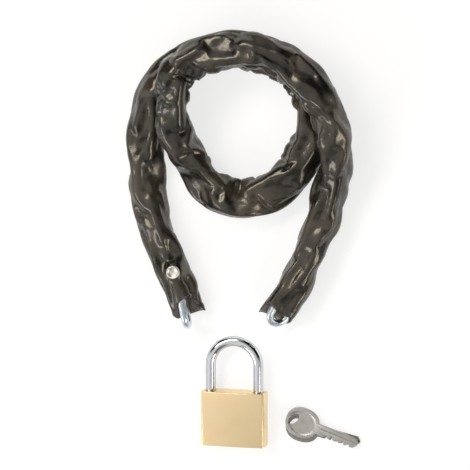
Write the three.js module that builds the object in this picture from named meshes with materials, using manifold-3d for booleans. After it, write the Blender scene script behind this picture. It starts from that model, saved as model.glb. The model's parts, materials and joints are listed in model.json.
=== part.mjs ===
// A sleeved security chain with its padlock and two keys, laid out flat on a table.
// Units are millimetres, +Z is up and the table's surface is Z = 0. The origin is the middle of
// the table area that the set covers. The chain lies in one and a half turns, the padlock lies on
// its back with the shackle towards +Y, and the keys lie one on the other beside it.

import * as THREE from "three";
import { mergeVertices } from "three/addons/utils/BufferGeometryUtils.js";
import Module from "manifold-3d";

const wasm = await Module();
wasm.setup();

// ---- Driving dimensions -------------------------------------------------------------------

// Middle line of the sleeve from its left mouth to its right mouth. The second lap rests on the first.
const ROUTE = [
  [-42, -64, 13], [-48, -50, 13], [-60, -23, 13], [-71, 8, 12.7], [-78, 39, 12.5], [-79, 62, 12.5],
  [-77, 86, 12.5], [-69, 109, 12.5], [-54, 129, 12.5], [-30, 142, 12.5], [-2, 145, 12.5],
  [25, 140, 12.5], [45, 127, 12.5], [55, 107, 12.5], [55, 86, 12.5], [46, 67, 12.5],
  [35, 50, 12.5], [20, 37.5, 12.5], [3, 31.5, 12.5], [-15, 33, 12.5], [-30, 43, 13], [-41, 59, 16.5],
  [-49, 79, 24.5], [-54, 101, 33], [-52, 120, 37], [-42, 136, 38.4], [-25, 146, 38.4],
  [-4, 150, 38.4], [17, 150, 38.4], [37, 144, 38.4], [54, 131, 38.4], [67, 112, 38], [74, 91, 34.5],
  [76, 72, 27], [73, 54, 18.5], [67, 36, 13], [59, 11, 12.5], [48, -20, 12.5], [37, -42, 12.5],
  [22, -65, 12.5],
];

// Chain: round wire, welded oval links.
const WIRE_R = 2.8;
const LINK_BEND_R = 7.75; // middle of the wire in a link's round end
const WIRE_GAP = 1; // play between two linked wires
const LINK_COUNT = 27;
const FIRST_JOINT = 30.5; // along the route, from the left mouth to the first pair's meeting point
const LAST_JOINT = 37; // the same from the right mouth
const TAIL_LINKS = 3; // links in each tail, its end link included
const LEAN = { 0: 2, 1: 1.2, 13: 0.6, 16: 0.8 }; // meeting points that stand to the right of the route
const SETTLE = { 13: 10, 16: -9 }; // degrees that two links roll to lie free of their neighbours
const LEFT_TIP = [-44, -74.6, 13]; // outer tips of the two end links
const RIGHT_TIP = [22.5, -69.1, 12.5];

// Sleeve: a soft tube, roomy in the loop and narrower in the tails.
const SLEEVE_WALL = 0.8;
const LOOP_INNER = [15.4, 11.5]; // half width, half height
const TAIL_INNER = [12.6, 11];
const HINGE_GAP = 5; // bare chain on each side of a tail's pivot
const SLEEVE_STEP = 14;

// Rivet through the left tail.
const RIVET_AT = [-53, -27.8];
const RIVET_HEAD_R = 5.1;
const RIVET_SHANK_R = 1.2;

// Padlock, in its own frame: X across, Y from the bottom face up to the shackle, Z its thickness.
const LOCK_AT = [-8.5, -164.8, 8.6];
const BODY_W = 50;
const BODY_H = 42.5;
const BODY_T = 17;
const BODY_CROWN = 0.9; // the wide faces bulge by this much
const BODY_CORNER = 2.2;
const LEG_X = 18.9;
const SHACKLE_R = 3.75;
const LEG_HOLE_R = 4.2;
const ARCH_Y = 62.9; // where the legs end and the arch begins
const TOE_END_Y = 30.6;
const HEEL_END_Y = 16;
const NECK_R = 2.5;
const NECK_Y = [19, 33.2];
const HEEL_HOLE_FLOOR_Y = 5;
const HEEL_PIN_AT = [14.8, 31.6];
const HEEL_PIN_R = 1.1;
const PLUG_R = 5.9;
const PLUG_BORE_R = 6.2;
const PLUG_Y = [0.3, 24.3];
const PLUG_BORE_TOP = 37.4;
const PLUG_GROOVE_Y = [22, 24.3];
const PLUG_GROOVE_R = 4.5;
const PLUG_PIN_AT = [6.4, 23.1];
const PLUG_PIN_R = 0.8;
const KEYWAY = { x: [-3.6, 4.4], halfThickness: 1.3, top: 21.5 };
const CAM_Y = [24.6, 28];
const PEG = { orbit: 4.3, r: 1.1, angle: THREE.MathUtils.degToRad(20), top: 36.6 };
const BOLT = { tip: -16.6, rear: 1, y: [32, 37.2], halfZ: 3.4, bevel: 2, bevelTop: 36 };
const BOLT_SLOT = { x: [-6.1, -2.6], z: -0.2 };
const BOLT_CHANNEL_END = 11.5;
const NOTCH = { floor: -16.95, outer: -14, low: 35.7, high: 37.6, slope: 2 };
const PIN_ROWS = [4, 8, 12, 16, 20];
const PIN_R = 1.3;
const PIN_HOLE_R = 1.6;
const KEY_PIN_OUTER = -5.5;
const KEY_PIN_TIPS = [-1.6, -2.4, -1.2, -2.8, -2];
const DRIVER_X = [-11.6, -6.4];
const DRIVER_SPRING_X = [-21.6, -11.9];
const STRIP = { x: [-24.9, -22], y: [1.4, 22.6], halfZ: 2.4 };

// Keys: an oval bow and a blade cut along one edge.
const KEY_T = 2.2;
const BOW = [13.4, 11.8];
const KEY_HOLE = { at: [-7.4, 0.4], half: [5.4, 2.9], turn: THREE.MathUtils.degToRad(62) };
const KEY_TIP_X = 46.5;
const KEY_CUT_TOPS = [-2.6, -1.4, -3, -1.9, -2.5]; // blade edge at the five cuts
const LOWER_KEY = { at: [44, -149.2], z: 0.1, turn: THREE.MathUtils.degToRad(-12.5) };
const UPPER_KEY = { at: [44.3, -145.4], z: 2.6, turn: THREE.MathUtils.degToRad(-19) };

// ---- Materials ----------------------------------------------------------------------------

function paint(color, roughness, metalness) {
  return new THREE.MeshStandardMaterial({ color, roughness, metalness });
}

const zincPlated = paint(0xb9c3ce, 0.3, 0.9);
const smokyVinyl = paint(0x4a4742, 0.25, 0);
const paleNickel = paint(0xd6cfbc, 0.3, 0.9);
const brass = paint(0xe0c08c, 0.35, 0.8);
const chrome = paint(0xe6e8ea, 0.1, 1);
const springSteel = paint(0x9a9da0, 0.35, 0.9);
const steel = paint(0x8f9092, 0.4, 0.9);
const satinNickel = paint(0xb0aca6, 0.35, 0.85);

// ---- Shared geometry helpers --------------------------------------------------------------

function solid(geometry) {
  const bare = geometry.clone();
  bare.deleteAttribute("normal");
  bare.deleteAttribute("uv");
  const merged = mergeVertices(bare, 1e-4);
  return new wasm.Manifold(new wasm.Mesh({
    numProp: 3,
    vertProperties: new Float32Array(merged.attributes.position.array),
    triVerts: new Uint32Array(merged.index.array),
  }));
}

function geometryOf(manifold) {
  const mesh = manifold.getMesh();
  const geometry = new THREE.BufferGeometry();
  geometry.setAttribute("position", new THREE.BufferAttribute(mesh.vertProperties, 3));
  geometry.setIndex(new THREE.BufferAttribute(mesh.triVerts, 1));
  geometry.computeVertexNormals();
  return geometry;
}

function cut(geometry, ...tools) {
  return geometryOf(tools.reduce((left, tool) => left.subtract(solid(tool)), solid(geometry)));
}

function join(geometry, ...others) {
  return geometryOf(others.reduce((left, other) => left.add(solid(other)), solid(geometry)));
}

function mesh(name, geometry, material) {
  const made = new THREE.Mesh(geometry, material);
  made.name = name;
  return made;
}

// Round bars between two heights of one axis.
function barY(radius, low, high, x, z, sides = 16) {
  const bar = new THREE.CylinderGeometry(radius, radius, high - low, sides);
  return bar.translate(x, (low + high) / 2, z);
}

function barX(radius, low, high, y, z, sides = 10) {
  const bar = new THREE.CylinderGeometry(radius, radius, high - low, sides).rotateZ(Math.PI / 2);
  return bar.translate((low + high) / 2, y, z);
}

function barZ(radius, low, high, x, y, sides = 12) {
  const bar = new THREE.CylinderGeometry(radius, radius, high - low, sides).rotateX(Math.PI / 2);
  return bar.translate(x, y, (low + high) / 2);
}

function block(x, y, z) {
  const box = new THREE.BoxGeometry(x[1] - x[0], y[1] - y[0], z[1] - z[0]);
  return box.translate((x[0] + x[1]) / 2, (y[0] + y[1]) / 2, (z[0] + z[1]) / 2);
}

// A straight coil spring between two points on a line parallel to X or Y.
class Coil extends THREE.Curve {
  constructor(start, end, radius, turns) {
    super();
    this.start = new THREE.Vector3(...start);
    this.along = new THREE.Vector3(...end).sub(this.start);
    this.side = new THREE.Vector3(0, 0, 1);
    this.up = this.along.clone().normalize().cross(this.side);
    this.radius = radius;
    this.turns = turns;
  }

  getPoint(t, target = new THREE.Vector3()) {
    const angle = 2 * Math.PI * this.turns * t;
    target.copy(this.start).addScaledVector(this.along, t);
    target.addScaledVector(this.side, this.radius * Math.cos(angle));
    return target.addScaledVector(this.up, this.radius * Math.sin(angle));
  }
}

function coilSpring(start, end, coilR, wireR, turns, stepsPerTurn, sides) {
  const section = new THREE.Shape();
  section.absarc(0, 0, wireR, 0, 2 * Math.PI);
  return new THREE.ExtrudeGeometry(section, {
    steps: turns * stepsPerTurn,
    curveSegments: sides / 2,
    extrudePath: new Coil(start, end, coilR, turns),
  });
}

// ---- The chain's route --------------------------------------------------------------------

function point(values) {
  return new THREE.Vector3(...values);
}

const route = new THREE.CatmullRomCurve3(ROUTE.map(point), false, "centripetal");
route.arcLengthDivisions = 1500;
const ROUTE_LENGTH = route.getLength();
const LINK_PITCH = (ROUTE_LENGTH - FIRST_JOINT - LAST_JOINT) / (LINK_COUNT - 2);

function alongRoute(distance) {
  return route.getPointAt(distance / ROUTE_LENGTH);
}

// Distance along the route of the meeting point between link n and link n + 1.
function jointDistance(n) {
  return FIRST_JOINT + n * LINK_PITCH;
}

const leftHingeDistance = jointDistance(TAIL_LINKS - 1);
const rightHingeDistance = jointDistance(LINK_COUNT - 1 - TAIL_LINKS);

// A stretch of the route whose cross-sections stay level as it bends.
class LevelStretch extends THREE.Curve {
  constructor(from, to) {
    super();
    this.from = from;
    this.to = to;
  }

  getPoint(t, target = new THREE.Vector3()) {
    return target.copy(alongRoute(this.from + (this.to - this.from) * t));
  }

  computeFrenetFrames(segments) {
    const frames = { tangents: [], normals: [], binormals: [] };
    const up = new THREE.Vector3(0, 0, 1);
    for (let i = 0; i <= segments; i += 1) {
      const tangent = this.getTangentAt(i / segments, new THREE.Vector3());
      const side = new THREE.Vector3().crossVectors(up, tangent).normalize();
      frames.tangents.push(tangent);
      frames.normals.push(side);
      frames.binormals.push(new THREE.Vector3().crossVectors(tangent, side));
    }
    return frames;
  }
}

// ---- Sleeve -------------------------------------------------------------------------------

// An eight-sided ring with its corners or its flats facing sideways and upwards.
function octagon(shape, halfWidth, halfHeight, flatsOut) {
  const turn = flatsOut ? Math.PI / 8 : 0;
  const reach = flatsOut ? 1 / Math.cos(Math.PI / 8) : 1;
  for (let i = 0; i < 8; i += 1) {
    const angle = turn + (i * Math.PI) / 4;
    const x = halfWidth * reach * Math.cos(angle);
    const y = halfHeight * reach * Math.sin(angle);
    if (i === 0) shape.moveTo(x, y);
    else shape.lineTo(x, y);
  }
  shape.closePath();
  return shape;
}

function sleeveGeometry(from, to, [halfWidth, halfHeight], flatsOut) {
  const section = octagon(
    new THREE.Shape(), halfWidth + SLEEVE_WALL, halfHeight + SLEEVE_WALL, flatsOut,
  );
  section.holes.push(octagon(new THREE.Path(), halfWidth, halfHeight, flatsOut));
  return new THREE.ExtrudeGeometry(section, {
    steps: Math.round((to - from) / SLEEVE_STEP),
    extrudePath: new LevelStretch(from, to),
  });
}

function sleeveLoop() {
  const from = leftHingeDistance + HINGE_GAP;
  const to = rightHingeDistance - HINGE_GAP;
  return mesh("sleeve_loop", sleeveGeometry(from, to, LOOP_INNER, false), smokyVinyl);
}

function sleeveLeftTail() {
  const tube = sleeveGeometry(0, leftHingeDistance - HINGE_GAP, TAIL_INNER, true);
  const rivetHole = barZ(RIVET_SHANK_R + 0.4, -1, 30, ...RIVET_AT, 8);
  return mesh("sleeve_left_tail", cut(tube, rivetHole), smokyVinyl);
}

function sleeveRightTail() {
  const from = rightHingeDistance + HINGE_GAP;
  const tube = sleeveGeometry(from, ROUTE_LENGTH, TAIL_INNER, true);
  return mesh("sleeve_right_tail", tube, smokyVinyl);
}

// ---- Chain --------------------------------------------------------------------------------

// An oval ring of round wire, long along Y: a torus pulled apart at its middle.
function linkGeometry() {
  const ring = new THREE.TorusGeometry(LINK_BEND_R, WIRE_R, 6, 14);
  ring.rotateZ(Math.PI / 14);
  const stretch = LINK_PITCH / 2 + WIRE_R + WIRE_GAP / 2 - LINK_BEND_R;
  const place = ring.attributes.position;
  for (let i = 0; i < place.count; i += 1) {
    place.setY(i, place.getY(i) + Math.sign(place.getY(i)) * stretch);
  }
  return ring;
}

// Places a link between two meeting points and rolls it about its own length.
function placeLink(name, start, end, roll) {
  const link = mesh(name, linkGeometry(), zincPlated);
  const lengthwise = end.clone().sub(start).normalize();
  const side = new THREE.Vector3(0, 0, 1).cross(lengthwise).normalize();
  const up = lengthwise.clone().cross(side);
  const across = side.multiplyScalar(-Math.cos(roll)).addScaledVector(up, Math.sin(roll));
  const facing = across.clone().cross(lengthwise);
  link.quaternion.setFromRotationMatrix(new THREE.Matrix4().makeBasis(across, lengthwise, facing));
  link.position.copy(start).add(end).multiplyScalar(0.5);
  return link;
}

// The inner meeting point of an end link, one pitch from its outer one.
function endLinkPoints(tip, inner) {
  const tipPoint = point(tip);
  const lengthwise = inner.clone().sub(tipPoint).normalize();
  const outer = tipPoint.addScaledVector(lengthwise, 2 * WIRE_R + WIRE_GAP / 2);
  return [outer, inner];
}

function chainLinks() {
  const links = [];
  const quarter = Math.PI / 2;
  const joints = [];
  for (let n = 0; n < LINK_COUNT - 1; n += 1) {
    const tangent = route.getTangentAt(jointDistance(n) / ROUTE_LENGTH);
    const right = tangent.cross(new THREE.Vector3(0, 0, 1)).normalize();
    joints.push(alongRoute(jointDistance(n)).addScaledVector(right, LEAN[n] ?? 0));
  }
  // The left end lies edge-on to the table and the chain twists by an eighth turn into the loop.
  for (let n = 0; n < LINK_COUNT; n += 1) {
    const twist = THREE.MathUtils.degToRad(82 - 12.33 * Math.min(n, TAIL_LINKS));
    const roll = twist + quarter * n + THREE.MathUtils.degToRad(SETTLE[n] ?? 0);
    const name = `chain_link_${String(n + 1).padStart(2, "0")}`;
    let ends = [joints[n - 1], joints[n]];
    if (n === 0) ends = endLinkPoints(LEFT_TIP, joints[0]);
    if (n === LINK_COUNT - 1) ends = endLinkPoints(RIGHT_TIP, joints[n - 1]).reverse();
    links.push(placeLink(name, ...ends, roll));
  }
  return links;
}

// ---- Rivet --------------------------------------------------------------------------------

function rivet() {
  const top = ROUTE[0][2] + TAIL_INNER[1] + SLEEVE_WALL + 0.3;
  const profile = [
    [0, 1.1], [RIVET_SHANK_R, 1.1], [RIVET_SHANK_R, top], [RIVET_HEAD_R, top],
    [RIVET_HEAD_R, top + 0.5], [RIVET_HEAD_R * 0.8, top + 1.5], [RIVET_HEAD_R * 0.45, top + 2],
    [0, top + 2.1],
  ].map(([x, y]) => new THREE.Vector2(x, y));
  const geometry = new THREE.LatheGeometry(profile, 14).rotateX(Math.PI / 2);
  const made = mesh("rivet", geometry, paleNickel);
  made.position.set(...RIVET_AT, 0);
  return made;
}

function rivetWasher() {
  const low = 0.1;
  const high = 0.8;
  const profile = [[2, low], [3.9, low], [3.9, high - 0.4], [2, high - 0.4], [2, low]];
  const ring = profile.map(([x, y]) => new THREE.Vector2(x, y));
  const geometry = new THREE.LatheGeometry(ring, 14).rotateX(Math.PI / 2);
  const made = mesh("rivet_washer", geometry, paleNickel);
  made.position.set(...RIVET_AT, 0);
  return made;
}

// ---- Padlock ------------------------------------------------------------------------------

function bodyBlank() {
  const half = BODY_T / 2;
  const edge = half - BODY_CROWN;
  const side = BODY_W / 2;
  const inner = side - BODY_CORNER;
  const section = new THREE.Shape();
  section.moveTo(-side, edge - BODY_CORNER);
  section.quadraticCurveTo(-side, edge, -inner, edge);
  section.quadraticCurveTo(0, half + BODY_CROWN, inner, edge);
  section.quadraticCurveTo(side, edge, side, edge - BODY_CORNER);
  section.lineTo(side, -edge + BODY_CORNER);
  section.quadraticCurveTo(side, -edge, inner, -edge);
  section.quadraticCurveTo(0, -half - BODY_CROWN, -inner, -edge);
  section.quadraticCurveTo(-side, -edge, -side, -edge + BODY_CORNER);
  const blank = new THREE.ExtrudeGeometry(section, {
    depth: BODY_H, bevelEnabled: false, curveSegments: 4,
  });
  return blank.rotateX(-Math.PI / 2);
}

function padlockBody() {
  const chamberEnd = STRIP.x[1] - 0.2;
  const chambers = PIN_ROWS.map((y) => barX(PIN_HOLE_R, chamberEnd - 1, 0, y, 0, 8));
  const blank = bodyBlank();
  const turned = cut(
    blank,
    barY(LEG_HOLE_R, TOE_END_Y - 0.8, BODY_H + 1, -LEG_X, 0),
    barY(LEG_HOLE_R, HEEL_HOLE_FLOOR_Y, BODY_H + 1, LEG_X, 0),
    barY(PLUG_BORE_R, -1, PLUG_BORE_TOP, 0, 0, 24),
    block([-LEG_X, BOLT_CHANNEL_END], [31.8, PLUG_BORE_TOP], [-3.8, 3.8]),
    barZ(HEEL_PIN_R + 0.25, -BODY_T, 5.3, ...HEEL_PIN_AT, 10),
    barZ(PLUG_PIN_R + 0.25, -BODY_T, 5.3, ...PLUG_PIN_AT, 8),
    block([-BODY_W, STRIP.x[1] + 0.3], [STRIP.y[0] - 0.3, STRIP.y[1] + 0.3],
      [-STRIP.halfZ - 0.3, STRIP.halfZ + 0.3]),
    ...chambers,
  );
  return mesh("padlock_body", turned, brass);
}

// The shackle's middle line: up the toe leg, over the arch and down the heel leg.
class ShackleLine extends THREE.Curve {
  getPoint(t, target = new THREE.Vector3()) {
    const toe = ARCH_Y - TOE_END_Y;
    const arch = Math.PI * LEG_X;
    const heel = ARCH_Y - NECK_Y[1];
    const distance = t * (toe + arch + heel);
    if (distance < toe) return target.set(-LEG_X, TOE_END_Y + distance, 0);
    if (distance > toe + arch) return target.set(LEG_X, ARCH_Y - (distance - toe - arch), 0);
    const angle = Math.PI - (distance - toe) / LEG_X;
    return target.set(LEG_X * Math.cos(angle), ARCH_Y + LEG_X * Math.sin(angle), 0);
  }
}

function shackle() {
  const section = new THREE.Shape();
  section.absarc(0, 0, SHACKLE_R, 0, 2 * Math.PI);
  const line = new ShackleLine();
  line.arcLengthDivisions = 600;
  const bow = new THREE.ExtrudeGeometry(section, {
    steps: 26, curveSegments: 6, extrudePath: line,
  });
  const neck = barY(NECK_R, NECK_Y[0] - 1, NECK_Y[1] + 1, LEG_X, 0, 12);
  const knob = barY(SHACKLE_R, HEEL_END_Y, NECK_Y[0], LEG_X, 0, 12);
  const notchSide = new THREE.Shape();
  const drop = NOTCH.slope * (NOTCH.outer - NOTCH.floor);
  notchSide.moveTo(NOTCH.floor, NOTCH.low);
  notchSide.lineTo(NOTCH.outer, NOTCH.low - drop);
  notchSide.lineTo(NOTCH.outer, NOTCH.high);
  notchSide.lineTo(NOTCH.floor, NOTCH.high);
  const notch = new THREE.ExtrudeGeometry(notchSide, { depth: 12, bevelEnabled: false });
  notch.translate(0, 0, -6);
  return mesh("shackle", cut(join(bow, neck, knob), notch), chrome);
}

function lockingBolt() {
  const side = new THREE.Shape();
  side.moveTo(BOLT.rear, BOLT.y[0]);
  side.lineTo(BOLT.rear, BOLT.y[1]);
  side.lineTo(BOLT.tip, BOLT.y[1]);
  side.lineTo(BOLT.tip, BOLT.bevelTop);
  side.lineTo(BOLT.tip + BOLT.bevel, BOLT.y[0]);
  const bar = new THREE.ExtrudeGeometry(side, { depth: 2 * BOLT.halfZ, bevelEnabled: false });
  bar.translate(0, 0, -BOLT.halfZ);
  const slot = block(BOLT_SLOT.x, [BOLT.y[0] - 1, BOLT.y[1] + 1], [BOLT_SLOT.z, BOLT.halfZ + 1]);
  return mesh("locking_bolt", cut(bar, slot), steel);
}

function cylinderPlug() {
  const keyway = block(
    KEYWAY.x, [-1, KEYWAY.top], [-KEYWAY.halfThickness, KEYWAY.halfThickness],
  );
  const grooveBlank = barY(PLUG_R + 1, PLUG_GROOVE_Y[0], PLUG_GROOVE_Y[1] + 1, 0, 0, 20);
  const grooveCore = barY(PLUG_GROOVE_R, PLUG_GROOVE_Y[0] - 1, PLUG_GROOVE_Y[1] + 2, 0, 0, 20);
  const pinHoles = PIN_ROWS.map((y) => barX(PIN_HOLE_R, -PLUG_R - 1, KEYWAY.x[0] + 1, y, 0, 8));
  const plug = barY(PLUG_R, ...PLUG_Y, 0, 0, 24);
  const turned = cut(plug, keyway, cut(grooveBlank, grooveCore), ...pinHoles);
  return mesh("cylinder_plug", turned, brass);
}

function plugCam() {
  const disc = barY(PLUG_R - 0.2, ...CAM_Y, 0, 0, 20);
  const peg = barY(
    PEG.r, CAM_Y[1] - 0.5, PEG.top,
    -PEG.orbit * Math.cos(PEG.angle), PEG.orbit * Math.sin(PEG.angle), 10,
  );
  return mesh("plug_cam", join(disc, peg), steel);
}

function pinStacks() {
  return PIN_ROWS.flatMap((y, i) => [
    mesh(`key_pin_${i + 1}`, barX(PIN_R, KEY_PIN_OUTER, KEY_PIN_TIPS[i], y, 0, 8), brass),
    mesh(`driver_pin_${i + 1}`, barX(PIN_R, ...DRIVER_X, y, 0, 8), brass),
    mesh(
      `driver_spring_${i + 1}`,
      coilSpring([DRIVER_SPRING_X[0] + 0.3, y, 0], [DRIVER_SPRING_X[1] - 0.3, y, 0], 1, 0.25, 4, 7, 4),
      springSteel,
    ),
  ]);
}

function padlock() {
  const group = new THREE.Group();
  group.position.set(...LOCK_AT);
  group.add(
    padlockBody(),
    shackle(),
    lockingBolt(),
    cylinderPlug(),
    plugCam(),
    mesh("heel_retaining_pin", barZ(HEEL_PIN_R, -7.4, 5, ...HEEL_PIN_AT, 10), steel),
    mesh("plug_retaining_pin", barZ(PLUG_PIN_R, -7.4, 5, ...PLUG_PIN_AT, 8), steel),
    mesh("pin_chamber_cover", block(STRIP.x, STRIP.y, [-STRIP.halfZ, STRIP.halfZ]), brass),
    mesh(
      "shackle_spring",
      coilSpring([LEG_X, HEEL_HOLE_FLOOR_Y + 0.8, 0], [LEG_X, HEEL_END_Y - 0.8, 0], 3, 0.45, 5, 8, 4),
      springSteel,
    ),
    mesh(
      "bolt_spring",
      coilSpring([BOLT.rear + 0.7, 34.6, 0], [BOLT_CHANNEL_END - 0.7, 34.6, 0], 1.9, 0.35, 5, 7, 4),
      springSteel,
    ),
    ...pinStacks(),
  );
  return group;
}

// ---- Keys ---------------------------------------------------------------------------------

function keyOutline() {
  const outline = new THREE.Shape();
  const meet = 0.36; // angle at which the blade leaves the bow
  outline.absellipse(0, 0, BOW[0], BOW[1], meet, 2 * Math.PI - meet, false);
  outline.lineTo(17, -4.4);
  const first = 19;
  const spacing = 4.6;
  KEY_CUT_TOPS.forEach((depth, i) => {
    const middle = first + 1.5 + i * spacing;
    outline.lineTo(middle - 1.6, -4.3);
    outline.lineTo(middle - 0.5, depth);
    outline.lineTo(middle + 0.5, depth);
    outline.lineTo(middle + 1.6, -4.3);
  });
  outline.lineTo(KEY_TIP_X - 3, -3.6);
  outline.lineTo(KEY_TIP_X, 0.6);
  outline.lineTo(KEY_TIP_X - 2.6, 4.3);
  outline.lineTo(13.5, 4.3);
  const hole = new THREE.Path();
  hole.absellipse(...KEY_HOLE.at, ...KEY_HOLE.half, 0, 2 * Math.PI, true, KEY_HOLE.turn);
  outline.holes.push(hole);
  return outline;
}

function key(name, { at, z, turn }) {
  const blank = new THREE.ExtrudeGeometry(keyOutline(), {
    depth: KEY_T, bevelEnabled: false, curveSegments: 9,
  });
  const groove = block([15, KEY_TIP_X + 1], [0.6, 2], [KEY_T - 0.8, KEY_T + 1]);
  const made = mesh(name, cut(blank, groove), satinNickel);
  made.position.set(...at, z);
  made.rotation.z = turn;
  return made;
}

// ---- The whole set ------------------------------------------------------------------------

const group = new THREE.Group();
group.add(
  sleeveLoop(),
  sleeveLeftTail(),
  sleeveRightTail(),
  ...chainLinks(),
  rivet(),
  rivetWasher(),
  padlock(),
  key("lower_key", LOWER_KEY),
  key("upper_key", UPPER_KEY),
);

export default group;
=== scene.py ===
"""A sleeved chain lock, its brass padlock and two keys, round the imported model."""

import json
import math

import bmesh
import bpy
import numpy as np
from mathutils import Matrix, Vector, noise
from mathutils.bvhtree import BVHTree


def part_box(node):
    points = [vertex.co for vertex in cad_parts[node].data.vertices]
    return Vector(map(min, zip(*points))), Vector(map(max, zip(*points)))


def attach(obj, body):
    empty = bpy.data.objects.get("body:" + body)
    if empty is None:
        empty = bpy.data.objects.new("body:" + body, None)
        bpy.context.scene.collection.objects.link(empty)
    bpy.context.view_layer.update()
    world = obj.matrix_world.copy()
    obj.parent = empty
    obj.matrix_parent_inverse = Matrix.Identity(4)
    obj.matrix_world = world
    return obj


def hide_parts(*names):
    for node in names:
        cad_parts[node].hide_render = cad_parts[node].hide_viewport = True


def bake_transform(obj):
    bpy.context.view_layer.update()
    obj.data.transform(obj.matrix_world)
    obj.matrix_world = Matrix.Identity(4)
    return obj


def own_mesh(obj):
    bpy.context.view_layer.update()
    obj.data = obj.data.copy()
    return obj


MM = 0.001
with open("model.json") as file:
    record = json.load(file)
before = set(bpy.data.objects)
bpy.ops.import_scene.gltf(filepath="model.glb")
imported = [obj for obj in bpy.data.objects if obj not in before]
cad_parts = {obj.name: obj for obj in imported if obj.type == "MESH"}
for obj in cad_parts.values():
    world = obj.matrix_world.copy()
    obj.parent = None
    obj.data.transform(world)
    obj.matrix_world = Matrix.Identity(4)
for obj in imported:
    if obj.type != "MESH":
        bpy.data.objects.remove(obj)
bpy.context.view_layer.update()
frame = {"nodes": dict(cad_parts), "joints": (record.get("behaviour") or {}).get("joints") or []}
scene = bpy.context.scene

# ---- Camera ----------------------------------------------------------------------------------

TO_CAMERA = Vector((0.24, 0.19, 0.952)).normalized()
LOOK_AT = Vector((-10.3, -1.4, 0)) * MM
FIELD = 361.5 * MM  # width of the view at LOOK_AT
DISTANCE = 6.0
SENSOR = 36  # millimetres


def make_camera():
    data = bpy.data.cameras.new("camera")
    data.sensor_width = SENSOR
    data.lens = SENSOR * DISTANCE / FIELD
    data.clip_start = 0.1
    data.clip_end = 100
    camera = bpy.data.objects.new("camera", data)
    right = Vector((0, 1, 0)).cross(TO_CAMERA).normalized()
    up = TO_CAMERA.cross(right)
    turn = Matrix((right, up, TO_CAMERA)).transposed().to_4x4()
    camera.matrix_world = Matrix.Translation(LOOK_AT + TO_CAMERA * DISTANCE) @ turn
    scene.collection.objects.link(camera)
    scene.camera = camera


make_camera()

# ---- Mesh helpers ----------------------------------------------------------------------------


def new_object(name, verts, faces, smooth=True):
    data = bpy.data.meshes.new(name)
    data.from_pydata([tuple(v) for v in verts], [], faces)
    data.validate()
    data.update()
    if smooth:
        data.shade_smooth()
    obj = bpy.data.objects.new(name, data)
    scene.collection.objects.link(obj)
    return obj


def settle(obj):
    """Applies every modifier and the object's own transform."""
    bpy.context.view_layer.update()
    seen = obj.evaluated_get(bpy.context.evaluated_depsgraph_get())
    data = bpy.data.meshes.new_from_object(seen)
    data.transform(obj.matrix_world)
    made = bpy.data.objects.new(obj.name, data)
    scene.collection.objects.link(made)
    name = obj.name
    old = obj.data
    bpy.data.objects.remove(obj)
    if isinstance(old, bpy.types.Mesh):
        bpy.data.meshes.remove(old)
    elif isinstance(old, bpy.types.Curve):
        bpy.data.curves.remove(old)
    made.name = name
    made.data.name = name
    return made


def sharpen(obj, degrees):
    """Smooth shading with hard edges where two faces meet at more than that angle."""
    obj.data.shade_smooth()
    obj.data.set_sharp_from_angle(angle=math.radians(degrees))


def facing_out(obj):
    """Turns the faces of closed bodies outwards."""
    work = bmesh.new()
    work.from_mesh(obj.data)
    bmesh.ops.recalc_face_normals(work, faces=work.faces)
    work.to_mesh(obj.data)
    work.free()
    return obj


def grid_faces(rows, columns, close_rows=False):
    """Quads of a grid whose columns wrap round, and whose rows do too where asked."""
    faces = []
    for i in range(rows if close_rows else rows - 1):
        for j in range(columns):
            a, b = i * columns + j, i * columns + (j + 1) % columns
            c, d = (i + 1) % rows * columns + j, (i + 1) % rows * columns + (j + 1) % columns
            faces.append((a, b, d, c))
    return faces


def swept(name, line, radii, sides, up):
    """A round bar along a line, with its own radius at each point and flat ends."""
    count = len(line)
    verts = []
    for i, here in enumerate(line):
        tangent = line[min(i + 1, count - 1)] - line[max(i - 1, 0)]
        tangent.normalize()
        side = tangent.cross(up).normalized()
        other = side.cross(tangent)
        for j in range(sides):
            angle = 2 * math.pi * j / sides
            verts.append(here + radii[i] * (side * math.cos(angle) + other * math.sin(angle)))
    faces = grid_faces(count, sides)
    faces.append(tuple(range(sides))[::-1])
    faces.append(tuple((count - 1) * sides + j for j in range(sides)))
    return new_object(name, verts, faces)


def turned(name, profile, sides, centre, axis="Z"):
    """A body of revolution from (radius, height) pairs that start and end on the axis."""
    rings = profile[1:-1]
    verts = []
    for radius, height in rings:
        for j in range(sides):
            angle = 2 * math.pi * j / sides
            verts.append((radius * math.cos(angle), radius * math.sin(angle), height))
    faces = grid_faces(len(rings), sides)
    low, high = len(verts), len(verts) + 1
    verts += [(0, 0, profile[0][1]), (0, 0, profile[-1][1])]
    last = (len(rings) - 1) * sides
    for j in range(sides):
        faces.append((low, (j + 1) % sides, j))
        faces.append((high, last + j, last + (j + 1) % sides))
    obj = new_object(name, verts, faces)
    turn = {
        "Z": Matrix.Identity(4),
        "Y": Matrix.Rotation(-math.pi / 2, 4, "X"),
        "X": Matrix.Rotation(math.pi / 2, 4, "Y"),
    }[axis]
    obj.data.transform(Matrix.Translation(Vector(centre)) @ turn)
    return obj


def rod(name, radius, low, high, centre, axis, sides):
    """A plain cylinder between two heights over its centre, to cut with or to cut from."""
    return turned(name, [(0, low), (radius, low), (radius, high), (0, high)], sides, centre, axis)


def block(name, low, high):
    """A box between two corners, to cut with."""
    x, y, z = zip(low, high)
    verts = [(x[i], y[j], z[k]) for i in (0, 1) for j in (0, 1) for k in (0, 1)]
    faces = [(0, 1, 3, 2), (4, 6, 7, 5), (0, 4, 5, 1), (2, 3, 7, 6), (0, 2, 6, 4), (1, 5, 7, 3)]
    return new_object(name, verts, faces, smooth=False)


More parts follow.
